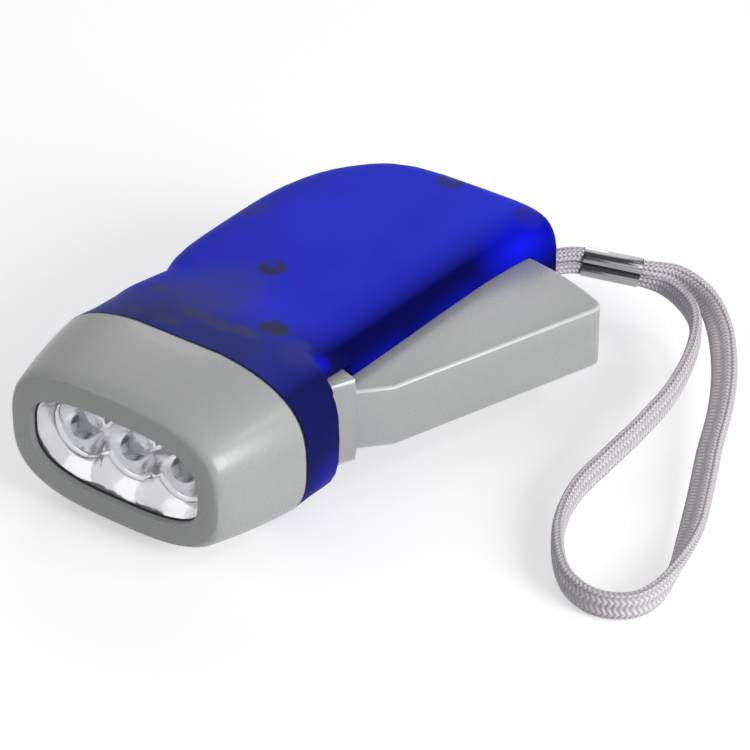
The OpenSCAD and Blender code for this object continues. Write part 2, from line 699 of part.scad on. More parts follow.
module gear_shaft(p, top) {
  color("silver") at_case() at(p, -inner_t) cylinder(r = shaft_r, h = top + inner_t);
}
module first_shaft() { gear_shaft(first_at, plate_z + plate_t); }
module second_shaft() { gear_shaft(second_at, plate_z + plate_t + 2.5); }
module rotor_shaft() { gear_shaft(rotor_at, plate_z + plate_t); }

module plate_arm(a, b) {
  v = b - a;
  translate(a) rotate(atan2(v.y, v.x)) translate([0, -plate_arm_w / 2]) square([norm(v), plate_arm_w]);
}
module gear_plate() {
  joins = [[post_at[0], first_at], [first_at, second_at], [second_at, rotor_at], [rotor_at, post_at[2]],
    [second_at, post_at[1]]];
  color("lightgray") at_case() translate([0, 0, plate_z]) linear_extrude(plate_t) difference() {
    union() {
      for (j = joins) plate_arm(j[0], j[1]);
      for (p = concat(post_at, [first_at, second_at])) translate(p) circle(d = plate_arm_w + 1);
      translate(rotor_at) circle(r = can_r);
    }
    for (p = [first_at, second_at, rotor_at]) translate(p) circle(r = shaft_r + seat_gap);
    for (p = post_at) translate(p) circle(r = post_hole_r + 0.3);
  }
}

module plate_screws() {
  color("dimgray") at_case() for (p = post_at) at(p, plate_z + plate_t) difference() {
    union() {
      cylinder(d = plate_head_d, h = plate_head_t);
      translate([0, 0, -plate_screw_len]) cylinder(r = post_hole_r - seat_gap, h = plate_screw_len);
    }
    for (a = [0, 90]) rotate(a) translate([-plate_head_d / 4, -plate_head_d / 12, plate_head_t / 2])
      cube([plate_head_d / 2, plate_head_d / 6, plate_head_t]);
  }
}

// Generator
module stator_can() {
  color("slategray") at_case() at(rotor_at, can_z) {
    difference() {
      cylinder(r = can_r, h = can_h);
      translate([0, 0, can_wall]) cylinder(r = can_r - can_wall, h = can_h - 2 * can_wall);
      translate([0, 0, -over]) cylinder(r = rotor_hub_r + 0.8, h = over + 2 * can_wall);
      translate([0, 0, can_h - 2 * can_wall]) cylinder(r = shaft_r + seat_gap, h = 3 * can_wall);
    }
    for (k = [0:pole_fingers - 1]) rotate(360 * k / pole_fingers)
      translate([magnet_r + air_gap, -1.1, can_wall - 0.01 + (k % 2) * 1.5])
        cube([finger_t, 2.2, can_h - 2 * can_wall - 1.48]);
  }
}
module coil_bobbin() {
  h = can_h - 2 * can_wall - 0.1;
  color("black") at_case() at(rotor_at, can_z + can_wall + 0.05) rotate_extrude() polygon([
    [bobbin_in_r, 0], [bobbin_out_r, 0], [bobbin_out_r, bobbin_wall],
    [bobbin_in_r + bobbin_wall, bobbin_wall], [bobbin_in_r + bobbin_wall, h - bobbin_wall],
    [bobbin_out_r, h - bobbin_wall], [bobbin_out_r, h], [bobbin_in_r, h]]);
}
module coil_winding() {
  h = can_h - 2 * can_wall - 0.1 - 2 * bobbin_wall;
  color("chocolate") at_case() at(rotor_at, can_z + can_wall + 0.05 + bobbin_wall + seat_gap) difference() {
    cylinder(r = bobbin_out_r - 0.1, h = h - 2 * seat_gap);
    translate([0, 0, -over]) cylinder(r = bobbin_in_r + bobbin_wall + seat_gap, h = h + 2 * over);
  }
}

// Storage cell and leads
module cell_holder() {
  r = cell_d / 2 + 0.15;
  color("black") at_case() at(cell_at, holder_top) mirror([0, 0, 1]) difference() {
    cylinder(r = r + holder_wall, h = holder_floor + cell_t + 0.8);
    translate([0, 0, holder_floor]) cylinder(r = r, h = cell_t + 2);
    translate([r - 2, -2, holder_floor]) cube([6, 4, cell_t + 2]);
  }
}
module storage_cell() {
  color("silver") at_case() at(cell_at, holder_top - holder_floor - seat_gap) mirror([0, 0, 1]) {
    cylinder(d = cell_d, h = cell_t * 0.7);
    cylinder(d = cell_d - 2.2, h = cell_t);
  }
}
module wiring() {
  color("crimson") at_case() for (path = [coil_lead, cell_lead]) for (k = [-0.5, 0.5])
    tube(beside(path, k * lead_apart), lead_d, lead_sides);
}

// Wrist strap
module strap_pin() {
  color("silver") at_case() at(strap_pin_at, -strap_pin_len / 2)
    cylinder(d = strap_pin_d, h = strap_pin_len);
}
module at_strap_pin() {
  translate([origin_x + strap_pin_at.x, strap_pin_at.y, 0]) children();
}
strap_path = [for (p = strap_route) [p.x, p.y, p.z]];
module strap() {
  color("thistle") at_strap_pin() loft([for (i = [0:len(strap_path) - 1])
    tube_ring(strap_path[i], heading(strap_path, i), strap_route[i][3], strap_t, strap_sides)]);
}
module strap_ferrule() {
  low = strap_path[2];
  high = strap_path[28];
  way = strap_path[3] - low;
  tilt = atan2(way.z, norm([way.x, way.y]));
  half_span = norm(high - low) / 2;
  color("silver") at_strap_pin() translate((low + high) / 2)
    rotate(atan2(way.y, way.x)) rotate([0, -tilt, 0]) rotate([90, 0, 90]) difference() {
      for (s = [-half_span, half_span]) translate([0, s, 0])
        cylinder(d = strap_neck_w + 2 * ferrule_wall, h = ferrule_len);
      for (s = [-half_span, half_span]) translate([0, s, -over])
        cylinder(d = strap_neck_w, h = ferrule_len + 2 * over);
    }
}

upper_shell();
lower_shell();
bezel();
lens();
lens_gasket();
reflector();
led_1();
led_2();
led_3();
led_board();
lever();
lever_pin();
lever_spring();
first_gear();
first_shaft();
second_gear();
second_shaft();
rotor_gear();
rotor_magnet();
rotor_shaft();
stator_can();
coil_bobbin();
coil_winding();
gear_plate();
plate_screws();
storage_cell();
cell_holder();
wiring();
case_screws();
strap_pin();
strap();
strap_ferrule();
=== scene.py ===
import json
import math

import bmesh
import bpy
from bpy.props import FloatProperty, FloatVectorProperty, IntProperty, PointerProperty
from mathutils import Matrix, Vector


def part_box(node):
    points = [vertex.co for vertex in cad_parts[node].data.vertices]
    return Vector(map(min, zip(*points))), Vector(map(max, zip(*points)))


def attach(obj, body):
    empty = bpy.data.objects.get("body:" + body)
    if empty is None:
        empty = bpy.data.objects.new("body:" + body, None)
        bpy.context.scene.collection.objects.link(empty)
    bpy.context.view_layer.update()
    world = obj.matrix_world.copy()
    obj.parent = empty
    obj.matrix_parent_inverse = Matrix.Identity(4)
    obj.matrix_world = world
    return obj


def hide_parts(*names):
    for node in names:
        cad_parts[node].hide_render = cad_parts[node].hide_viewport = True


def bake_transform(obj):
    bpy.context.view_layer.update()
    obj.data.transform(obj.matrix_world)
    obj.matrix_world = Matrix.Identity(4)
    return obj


bl_info = {
    "name": "Squeeze torch",
    "version": (1, 0, 0),
    "blender": (4, 5, 0),
    "location": "3D View > Sidebar > Torch",
    "description": "Dresses the packed squeeze torch: case, lamp head, lever, strap and studio",
    "category": "Object",
}

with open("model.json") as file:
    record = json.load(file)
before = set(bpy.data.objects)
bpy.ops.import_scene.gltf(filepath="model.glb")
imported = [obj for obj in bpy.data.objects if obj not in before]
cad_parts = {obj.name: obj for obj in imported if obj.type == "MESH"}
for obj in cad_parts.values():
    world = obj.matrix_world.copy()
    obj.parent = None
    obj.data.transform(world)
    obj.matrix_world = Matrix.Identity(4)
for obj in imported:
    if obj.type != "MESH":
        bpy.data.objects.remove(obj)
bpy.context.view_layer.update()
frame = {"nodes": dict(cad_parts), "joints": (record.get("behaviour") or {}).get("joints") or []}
NODES = frame["nodes"]
MM = 0.001
MID_Z = 15.5 * MM
HINGE = Vector(next(j["pos_m"] for j in frame["joints"] if j["name"] == "lever_hinge"))
LEVER_OPEN = math.radians(19)
LAMP_Y = [(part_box(n)[0].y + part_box(n)[1].y) / 2 for n in ("led_1", "led_2", "led_3")]
LAMP_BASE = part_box("led_board")[1].x
LAMP_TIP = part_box("led_2")[1].x
LENS_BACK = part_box("lens")[0].x
CUP_OVERLAP = 0.7 * MM
CUP_RADIUS = abs(LAMP_Y[1] - LAMP_Y[0]) / 2 + CUP_OVERLAP
FIT_SLACK = 0.1 * MM

# The strap's route, as in the part's source: x, y, z and width in millimetres
STRAP_ROUTE = [
    (-44, 20, 14.2, 2.5), (-48.5, 23.6, 14.2, 2.5), (-53, 27.5, 13.7, 2.5), (-58.5, 37, 11.7, 2.5),
    (-59.5, 43, 11, 4), (-55, 50.5, 10.5, 5), (-46.5, 55.5, 9.5, 5), (-35, 58.5, 8, 5), (-24, 59, 6.5, 5),
    (-14, 58.5, 5, 5), (-4.5, 58.5, 4, 5), (3.5, 60.5, 3, 5), (10.5, 64.5, 2.7, 5), (16.5, 70, 2.7, 5),
    (19, 75.5, 2.7, 5), (18.5, 80, 2.7, 5), (15.5, 83.5, 2.7, 5), (10, 84.5, 2.7, 5), (2, 83, 2.7, 5),
    (-7, 80, 3, 5), (-17.5, 75.5, 3.5, 5), (-27.5, 71, 4.5, 5), (-37.5, 67, 6, 5), (-47, 62, 7.5, 5),
    (-56, 55.5, 9, 5), (-61.5, 49, 10.5, 5), (-62.5, 42.5, 12.5, 4), (-58.5, 37, 14.4, 2.5),
    (-53, 27.5, 16.4, 2.5), (-48.5, 23.6, 16.8, 2.5), (-44, 20, 16.8, 2.5)]

ROUTE_STEP = 0.9 * MM
# Where the braid, measured along it, begins to lean outwards and where it stands up again
LEAN_STARTS = (132 * MM, 158 * MM)
LEAN_ENDS = (205 * MM, 227 * MM)
# One ring of the braid: points for each rib, how square its flat and its edge are, and its grooves
POINTS_PER_RIB = 16
FLAT_POWER, EDGE_POWER = 0.6, 0.8
GROOVE_DEPTH, GROOVE_POWER = 0.10, 8

# The crimp, from the case outwards: millimetres along it, and its size as a share of the full lobes
CRIMP_SHAPE = [(0.0, 0.93), (0.25, 1.0), (10.75, 1.0), (11.0, 0.93), (11.0, 0.80), (10.0, 0.76)]
CRIMP_LOBE = 1.6 * MM
CRIMP_BORE = 0.82

# One lamp's inner frame: millimetres along the beam, and its radius there
LAMP_FRAME = [(0.4, 0), (0.4, 2.2), (0.6, 2.2), (0.6, 0.5), (3.2, 0.5), (3.6, 1.1), (4.6, 1.3), (4.6, 1.1),
              (4.0, 0.5), (4.0, 0)]
FRAME_RISE = 0.3 * MM
LAMP_COLLAR, COLLAR_LONG, COLLAR_SLOPE = 0.4 * MM, 1 * MM, 0.1 * MM

# The lever's round edges, in the lever's own directions from its hinge
HUB_REACH, OUTER_FACE, TAIL_REACH, CORE_HALF = 1.6 * MM, 5.0 * MM, 59.5 * MM, 5 * MM
LEVER_FLAT, LEVER_FOLD = math.radians(1.5), math.radians(28)

# Painted marks on the case, painted shade where inner parts show through and painted glow where light passes
# through the wall: x, y, z and the reach along and across the case, in millimetres, and a depth
INNER_SHADES = [
    (26.7, -5.1, 31, 2.2, 4, 0.5), (22.5, -2.4, 30.8, 2.4, 4.5, 0.75), (23.1, 3, 30.8, 2, 5, 0.7),
    (22.2, 7.7, 30.7, 2, 3.6, 0.75), (18.5, -13.1, 30.1, 2.2, 4, 0.7), (17.3, 16.9, 29.9, 2, 2.6, 0.45),
    (27.4, -12.9, 31, 2.4, 3.4, 0.45), (-15, -19, 28, 4.2, 4.2, 0.4), (20.5, 18, 29, 4.6, 4.6, 0.3),
    (14, -6, 29, 15, 11, 0.5)]
BOSS_SHADES = [
    (0.3, -3, 28.7, 3.1, 3.1, 0.92), (17.3, 10.4, 29.9, 3.1, 3.1, 0.98),
    (-44.2, 4.3, 28.1, 3.3, 3.3, 0.75), (-42.8, 22, 27.4, 3.3, 3.3, 0.6)]
BOSS_EYES = [
    (-0.5, -3.7, 28.7, 1.5, 1.5, 0.6), (17.6, 10.2, 29.9, 1.2, 1.2, 0.12), (-44.6, 3.8, 28.1, 1.4, 1.4, 0.4)]
WALL_GLOWS = [
    (-37, 25, 25, 13, 8, 0.95), (-20, 24, 21, 22, 4.5, 0.3), (4, 22.5, 21, 14, 4, 0.3),
    (17.4, 20.6, 26.9, 2.6, 2.4, 0.8), (-49, 10, 22, 5, 15, 0.45), (24, 26.5, 7, 7, 9, 0.35)]
COLLAR_BACK, COLLAR_FRONT = 11 * MM, 25 * MM
# Painted sheen: the collar's blue grows paler between these two places towards the far side
COLLAR_SHEEN_FROM, COLLAR_SHEEN_TO = -8 * MM, -22 * MM
# Painted shade: the bezel is black behind this place along the beam, where it enters the case
BEZEL_JOINT = 30.5 * MM

# Lights: name, place and size in metres, and power in watts
LIGHTS = (
    ("key", (0.05, 0.88, 0.37), 0.42, 7.2),
    ("edge", (-0.27, 0.62, 0.66), 0.12, 0.6),
    ("fill", (0.45, -0.35, 0.6), 0.6, 0.7),
    ("rim", (-0.5, -0.4, 0.45), 0.4, 0.9))
CAMERA_TARGET = Vector((3, 21.17, 17.08)) * MM
FOCAL_LENGTH, SENSOR_WIDTH = 166.24, 36
FLOOR_REACH, FLOOR_DROP = 3.0, 0.2 * MM
FLOOR_LIFT, SURROUND_FILL = 0.51, 0.24

STEEL = {"light": (0.56, 0.57, 0.59), "dark": (0.44, 0.45, 0.47), "grain": 1800.0, "smooth": 0.22,
         "rough": 0.4, "relief": 0.006 * MM, "metallic": 1.0}
# Works inside: the finish's name, its values and the nodes that have it
INSIDE_FINISHES = (
    ("Plain steel", STEEL,
     ("lever_pin", "first_shaft", "second_shaft", "rotor_shaft", "stator_can", "gear_plate", "plate_screws",
      "storage_cell", "case_screws", "strap_pin")),
    ("Gear plastic",
     {"light": (0.8, 0.79, 0.74), "dark": (0.7, 0.69, 0.63), "grain": 1500.0, "smooth": 0.35, "rough": 0.5},
     ("first_gear", "second_gear", "rotor_gear")),
    ("Magnet",
     {"light": (0.09, 0.09, 0.1), "dark": (0.05, 0.05, 0.06), "grain": 1200.0, "smooth": 0.4, "rough": 0.6},
     ("rotor_magnet",)),
    ("Black plastic",
     {"light": (0.035, 0.035, 0.035), "dark": (0.02, 0.02, 0.02), "grain": 2000.0, "smooth": 0.4,
      "rough": 0.55},
     ("coil_bobbin", "cell_holder")),
    ("Copper wire",
     {"light": (0.6, 0.25, 0.12), "dark": (0.4, 0.15, 0.07), "grain": 2500.0, "smooth": 0.25, "rough": 0.4,
      "relief": 0.03 * MM, "metallic": 1.0},
     ("coil_winding",)),
    ("Board",
     {"light": (0.05, 0.25, 0.1), "dark": (0.03, 0.18, 0.07), "grain": 900.0, "smooth": 0.3, "rough": 0.45},
     ("led_board",)),
    ("Lead cover",
     {"light": (0.5, 0.05, 0.06), "dark": (0.36, 0.03, 0.04), "grain": 900.0, "smooth": 0.3, "rough": 0.45},
     ("wiring",)))


class TorchSizes(bpy.types.PropertyGroup):
    strap_thickness: FloatProperty(
        name="Strap thickness", description="Thickness of the flat braid", default=2.2 * MM, unit="LENGTH")
    strap_lean: FloatProperty(
        name="Strap lean", description="How far the braid leans outwards on its way back to the crimp",
        default=math.radians(58), subtype="ANGLE")
    strap_ribs: IntProperty(
        name="Strap ribs", description="Raised ribs across one face of the braid", default=4, min=2, max=8)
    edge_round: FloatProperty(
        name="Lever edge", description="Rounding of the lever's edges", default=0.5 * MM, unit="LENGTH")
    lamp_radius: FloatProperty(
        name="Lamp radius", description="Radius of one clear lamp", default=2.5 * MM, unit="LENGTH")
    tray_slope: FloatProperty(
        name="Tray slope", description="How far the reflector's cups lie behind its rim", default=3.0 * MM,
        unit="LENGTH")
    camera_distance: FloatProperty(
        name="Camera distance", description="From the camera to its target", default=0.6, unit="LENGTH")
    camera_azimuth: FloatProperty(
        name="Camera azimuth", description="Turn of the camera from the beam towards the lever",
        default=math.radians(36.02), subtype="ANGLE")
    camera_height: FloatProperty(
        name="Camera elevation", description="Angle of the camera above the floor",
        default=math.radians(33.09), subtype="ANGLE")


class TorchColours(bpy.types.PropertyGroup):
    case_blue: FloatVectorProperty(
        name="Case", description="Frosted blue of the case's flats", default=(0.026, 0.038, 0.72),
        subtype="COLOR", size=3)
    # Painted shade for the case's steep sides
    case_side_shade: FloatVectorProperty(
        name="Case side", description="Blue of the case's steep sides", default=(0.0025, 0.003, 0.078),
        subtype="COLOR", size=3)
    case_ring: FloatVectorProperty(
        name="Case ring", description="Blue over the head's grey collar", default=(0.034, 0.041, 0.165),
        subtype="COLOR", size=3)
    # Painted shade where inner parts show through the wall
    case_deep: FloatVectorProperty(
        name="Case shade", description="Blue where inner parts show through", default=(0.062, 0.066, 0.14),
        subtype="COLOR", size=3)
    # Painted glow where light passes through the wall
    case_glow: FloatVectorProperty(
        name="Case glow", description="Blue where light passes through the wall",
        default=(0.006, 0.010, 0.80), subtype="COLOR", size=3)
    grey: FloatVectorProperty(
        name="Grey plastic", description="Bezel and lever", default=(0.395, 0.40, 0.40),
        subtype="COLOR", size=3)
    braid_light: FloatVectorProperty(
        name="Braid", description="Raised threads of the strap", default=(0.82, 0.78, 0.815),
        subtype="COLOR", size=3)
    braid_dark: FloatVectorProperty(
        name="Braid gaps", description="Between the strap's threads", default=(0.43, 0.40, 0.44),
        subtype="COLOR", size=3)
    floor: FloatVectorProperty(
        name="Floor", description="Colour of the studio floor", default=(0.70, 0.70, 0.71),
        subtype="COLOR", size=3)


def sizes():
    return bpy.context.scene.torch_sizes


def colours():
    return bpy.context.scene.torch_colours


# Shader groups and materials

def new_group(name, inputs, outputs):
    tree = bpy.data.node_groups.new(name, "ShaderNodeTree")
    for label, kind, default in inputs:
        socket = tree.interface.new_socket(label, in_out="INPUT", socket_type=kind)
        if default is not None:
            socket.default_value = default
    for label, kind in outputs:
        tree.interface.new_socket(label, in_out="OUTPUT", socket_type=kind)
    return tree, tree.nodes.new("NodeGroupInput").outputs, tree.nodes.new("NodeGroupOutput").inputs


def plug(tree, socket, value):
    if isinstance(value, bpy.types.NodeSocket):
        tree.links.new(value, socket)
    else:
        socket.default_value = value


def math_node(tree, operation, *values):
    node = tree.nodes.new("ShaderNodeMath")
    node.operation = operation
    for socket, value in zip(node.inputs, values):
        plug(tree, socket, value)
    return node.outputs[0]


def noise(tree, vector, scale, detail=3.0, roughness=0.55):
    node = tree.nodes.new("ShaderNodeTexNoise")
    plug(tree, node.inputs["Vector"], vector)
    plug(tree, node.inputs["Scale"], scale)
    node.inputs["Detail"].default_value = detail
    node.inputs["Roughness"].default_value = roughness
    return node.outputs["Fac"]


def spread(tree, value, low, high, to_low, to_high):
    node = tree.nodes.new("ShaderNodeMapRange")
    for socket, v in zip(node.inputs, (value, low, high, to_low, to_high)):
        plug(tree, socket, v)
    return node.outputs["Result"]


def mix(tree, factor, a, b):
    node = tree.nodes.new("ShaderNodeMix")
    node.data_type = "RGBA"
    plug(tree, node.inputs["Factor"], factor)
    plug(tree, node.inputs["A"], a)
    plug(tree, node.inputs["B"], b)
    return node.outputs["Result"]


def rgba(colour, gain=1.0):
    return (*[min(1.0, c * gain) for c in colour], 1.0)


def moulded_group():
    """Fine moulded grain: a colour that drifts slightly, its roughness and a height."""
    if "Moulded grain" in bpy.data.node_groups:
        return bpy.data.node_groups["Moulded grain"]
    tree, i, o = new_group("Moulded grain", [
        ("Vector", "NodeSocketVector", None), ("Light", "NodeSocketColor", (0.5, 0.5, 0.5, 1)),
        ("Dark", "NodeSocketColor", (0.4, 0.4, 0.4, 1)), ("Grain size", "NodeSocketFloat", 2600.0),
        ("Smooth", "NodeSocketFloat", 0.35), ("Rough", "NodeSocketFloat", 0.5)],
        [("Color", "NodeSocketColor"), ("Roughness", "NodeSocketFloat"), ("Height", "NodeSocketFloat")])
    drift = spread(tree, noise(tree, i["Vector"], 45.0), 0.3, 0.7, 0.0, 1.0)
    grain = noise(tree, i["Vector"], i["Grain size"], 2.0)
    specks = math_node(tree, "MULTIPLY_ADD", grain, 0.35, math_node(tree, "MULTIPLY", drift, 0.65))
    plug(tree, o["Color"], mix(tree, specks, i["Dark"], i["Light"]))
    plug(tree, o["Roughness"], spread(tree, grain, 0.3, 0.7, i["Smooth"], i["Rough"]))
    plug(tree, o["Height"], grain)
    return tree


def braid_group():
    """Flat braid: ribs along the strap with threads that slant one way and the other."""
    if "Braid" in bpy.data.node_groups:
        return bpy.data.node_groups["Braid"]
    tree, i, o = new_group("Braid", [
        ("Along", "NodeSocketFloat", 0.0), ("Around", "NodeSocketFloat", 0.0),
        ("Ribs", "NodeSocketFloat", 4.0), ("Threads", "NodeSocketFloat", 1.1)],
        [("Height", "NodeSocketFloat"), ("Thread", "NodeSocketFloat")])
    both_faces = math_node(tree, "MULTIPLY", i["Ribs"], 2.0)
    rib = math_node(tree, "FRACT", math_node(tree, "MULTIPLY", i["Around"], both_faces))
    across = math_node(tree, "ABSOLUTE", math_node(tree, "SUBTRACT", rib, 0.5))
    forward = math_node(tree, "MULTIPLY", i["Along"], i["Threads"])
    slant = math_node(tree, "MULTIPLY_ADD", across, 1.3, forward)
    wave = math_node(tree, "SINE", math_node(tree, "MULTIPLY", slant, 2 * math.pi))
    thread = spread(tree, wave, -0.75, 0.6, 0.0, 1.0)
    crown = spread(tree, across, 0.5, 0.18, 0.0, 1.0)
    plug(tree, o["Thread"], math_node(tree, "MULTIPLY", thread, spread(tree, crown, 0.0, 1.0, 0.35, 1.0)))
    plug(tree, o["Height"], math_node(tree, "MULTIPLY_ADD", thread, 0.6, crown))
    return tree


def new_material(name):
    made = bpy.data.materials.new(name)
    made.use_nodes = True
    return made, made.node_tree, made.node_tree.nodes["Principled BSDF"].inputs


def place_group(tree, group, **values):
    node = tree.nodes.new("ShaderNodeGroup")
    node.node_tree = group
    for label, value in values.items():
        plug(tree, node.inputs[label.replace("_", " ")], value)
    return node.outputs


def object_coords(tree):
    return tree.nodes.new("ShaderNodeTexCoord").outputs["Object"]


def bump(tree, shader, height, distance, strength=1.0):
    node = tree.nodes.new("ShaderNodeBump")
    node.inputs["Distance"].default_value = distance
    node.inputs["Strength"].default_value = strength
    plug(tree, node.inputs["Height"], height)
    plug(tree, shader["Normal"], node.outputs["Normal"])


def grained(name, light, dark, grain=2600.0, smooth=0.35, rough=0.5, relief=0.02 * MM, metallic=0.0):
    """A moulded or rolled surface with its grain, for plastic, steel or rubber."""
    made, tree, shader = new_material(name)
    out = place_group(tree, moulded_group(), Vector=object_coords(tree), Light=rgba(light), Dark=rgba(dark),
                      Grain_size=grain, Smooth=smooth, Rough=rough)
    plug(tree, shader["Base Color"], out["Color"])
    plug(tree, shader["Roughness"], out["Roughness"])
    shader["Metallic"].default_value = metallic
    bump(tree, shader, out["Height"], relief)
    return made, tree, shader, out


def soft_spots(tree, place, spots, core=0.45):
    """Soft marks, each a place, its reach along and across the case in millimetres, and a depth."""
    total = None
    for x, y, z, along, across, depth in spots:
        gap = tree.nodes.new("ShaderNodeVectorMath")
        gap.operation = "MULTIPLY_ADD"
        shrink = Vector((1 / along, 1 / across, 1 / across)) / MM
        plug(tree, gap.inputs[0], place)
        gap.inputs[1].default_value = shrink
        gap.inputs[2].default_value = -Vector((x, y, z)) * MM * shrink
        size = tree.nodes.new("ShaderNodeVectorMath")
        size.operation = "LENGTH"
        plug(tree, size.inputs[0], gap.outputs[0])
        soft = spread(tree, size.outputs["Value"], core, 1.0, depth, 0.0)
        total = soft if total is None else math_node(tree, "MAXIMUM", total, soft)
    return total


def direct_view(tree):
    """1 where the camera, a reflection or a clear piece sees the surface, 0 where it only sheds light."""
    rays = tree.nodes.new("ShaderNodeLightPath").outputs
    through = math_node(tree, "MAXIMUM", rays["Is Glossy Ray"], rays["Is Transmission Ray"])
    return math_node(tree, "MAXIMUM", rays["Is Camera Ray"], through)


def split_xyz(tree, vector):
    node = tree.nodes.new("ShaderNodeSeparateXYZ")
    plug(tree, node.inputs[0], vector)
    return node.outputs


def case_material():
    """Frosted blue: painted shade on its steep sides, cloudy over the collar with a painted sheen towards the
    far side, and painted shade and painted glow where inner parts and light show through.
    """
    c = colours()
    made, tree, shader, out = grained(
        "Frosted blue", [v * 1.15 for v in c.case_blue], [v * 0.82 for v in c.case_blue],
        grain=3200.0, smooth=0.34, rough=0.48, relief=0.012 * MM)
    place = object_coords(tree)
    facing = split_xyz(tree, tree.nodes.new("ShaderNodeTexCoord").outputs["Normal"])
    upright = math_node(tree, "ABSOLUTE", facing["Z"])
    # Painted shade: faces turned to the lever side, and steep walls, take the darker side shade blue
    side_shade = math_node(tree, "MAXIMUM", spread(tree, facing["Y"], 0.06, 0.62, 0.0, 1.0),
                      spread(tree, upright, 0.9, 0.2, 0.0, 0.55))
    colour = mix(tree, side_shade, out["Color"], rgba(c.case_side_shade))
    cloud = noise(tree, place, 110.0, 3.0)
    where = split_xyz(tree, place)
    collar = math_node(tree, "MULTIPLY", spread(tree, where["X"], COLLAR_BACK, COLLAR_FRONT, 0.0, 1.0),
                       math_node(tree, "MULTIPLY", spread(tree, cloud, 0.3, 0.7, 0.75, 0.97),
                                 spread(tree, facing["Y"], 0.12, 0.6, 1.0, 0.25)))
    # Painted sheen: the collar's blue is lifted towards the far side
    far_sheen = spread(tree, where["Y"], COLLAR_SHEEN_FROM, COLLAR_SHEEN_TO, 0.0, 1.0)
    ring = mix(tree, far_sheen, rgba(c.case_ring), rgba(c.case_ring, 2.2))
    colour = mix(tree, collar, colour, ring)
    # Painted shade where inner parts show through the wall, and over the screw bosses with lighter eyes
    colour = mix(tree, soft_spots(tree, place, INNER_SHADES), colour, rgba(c.case_deep))
    boss_shade = soft_spots(tree, place, BOSS_SHADES, core=0.66)
    eyes = soft_spots(tree, place, BOSS_EYES)
    boss_shade = math_node(tree, "MAXIMUM", math_node(tree, "SUBTRACT", boss_shade, eyes), 0.0)
    colour = mix(tree, boss_shade, colour, rgba(c.case_deep, 0.62))
    # Painted glow where light passes through the wall
    glow = soft_spots(tree, place, WALL_GLOWS, core=0.1)
    plug(tree, shader["Base Color"], mix(tree, glow, colour, rgba(c.case_glow)))
    shader["Specular IOR Level"].default_value = 0.012
    return made


def bezel_material():
    """The grey plastic, with painted shade in black where its collar enters the case."""
    c = colours()
    made, tree, shader, out = grained(
        "Bezel plastic", c.grey, [v * 0.94 for v in c.grey], grain=2400.0, smooth=0.24, rough=0.36,
        relief=0.010 * MM)
    depth = split_xyz(tree, object_coords(tree))["X"]
    # Painted shade: the collar inside the case is nearly black
    collar = spread(tree, depth, BEZEL_JOINT + 0.1 * MM, BEZEL_JOINT, 0.0, 1.0)
    plug(tree, shader["Base Color"], mix(tree, collar, out["Color"], (0.004, 0.004, 0.010, 1)))
    return made


def lever_material():
    """The grey plastic, with a painted highlight on the round edges."""
    c = colours()
    made, tree, shader, out = grained(
        "Grey plastic", c.grey, [v * 0.95 for v in c.grey], grain=2400.0, smooth=0.24, rough=0.36,
        relief=0.006 * MM)
    edge = tree.nodes.new("ShaderNodeAttribute")
    edge.attribute_name = "painted_highlight"
    plug(tree, shader["Base Color"], mix(tree, edge.outputs["Fac"], out["Color"], rgba(c.grey, 1.5)))
    return made


def reflection_painted_plate():
    """Bright plate with painted reflections: the dark and light bands of a dim room along its lobes."""
    made, tree, shader, out = grained(
        "Plate with painted reflections", (0.62, 0.62, 0.64), (0.5, 0.5, 0.52), grain=700.0, smooth=0.16, rough=0.24,
        relief=0.001 * MM, metallic=1.0)
    # Painted reflection: a dark band on faces between each lobe's crest and its foot
    upward = split_xyz(tree, tree.nodes.new("ShaderNodeTexCoord").outputs["Normal"])["Z"]
    below_crest = spread(tree, upward, 0.90, 0.78, 0.0, 1.0)
    above_foot = spread(tree, upward, 0.30, 0.45, 0.3, 1.0)
    dark = math_node(tree, "MULTIPLY", below_crest, above_foot)
    plug(tree, shader["Base Color"], mix(tree, dark, out["Color"], (0.05, 0.05, 0.055, 1)))
    return made


def clear_plastic(name, light, dark, grain, rough):
    """A clear moulding with a faint drift of its tint."""
    made, tree, shader = new_material(name)
    out = place_group(tree, moulded_group(), Vector=object_coords(tree), Light=rgba(light), Dark=rgba(dark),
                      Grain_size=grain, Smooth=0.02, Rough=rough)
    plug(tree, shader["Base Color"], out["Color"])
    plug(tree, shader["Roughness"], out["Roughness"])
    return made, shader


def window_material():
    """The thin clear window, mostly see-through."""
    made, shader = clear_plastic("Clear window", (0.97, 0.98, 1), (0.9, 0.92, 0.95), grain=400.0, rough=0.08)
    shader["Alpha"].default_value = 0.10
    return made


def lamp_material():
    """The lamps' clear resin, which bends the light that passes."""
    made, shader = clear_plastic("Lamp epoxy", (1, 1, 1), (0.93, 0.95, 1), grain=500.0, rough=0.06)
    shader["Transmission Weight"].default_value = 1.0
    shader["IOR"].default_value = 1.3
    return made


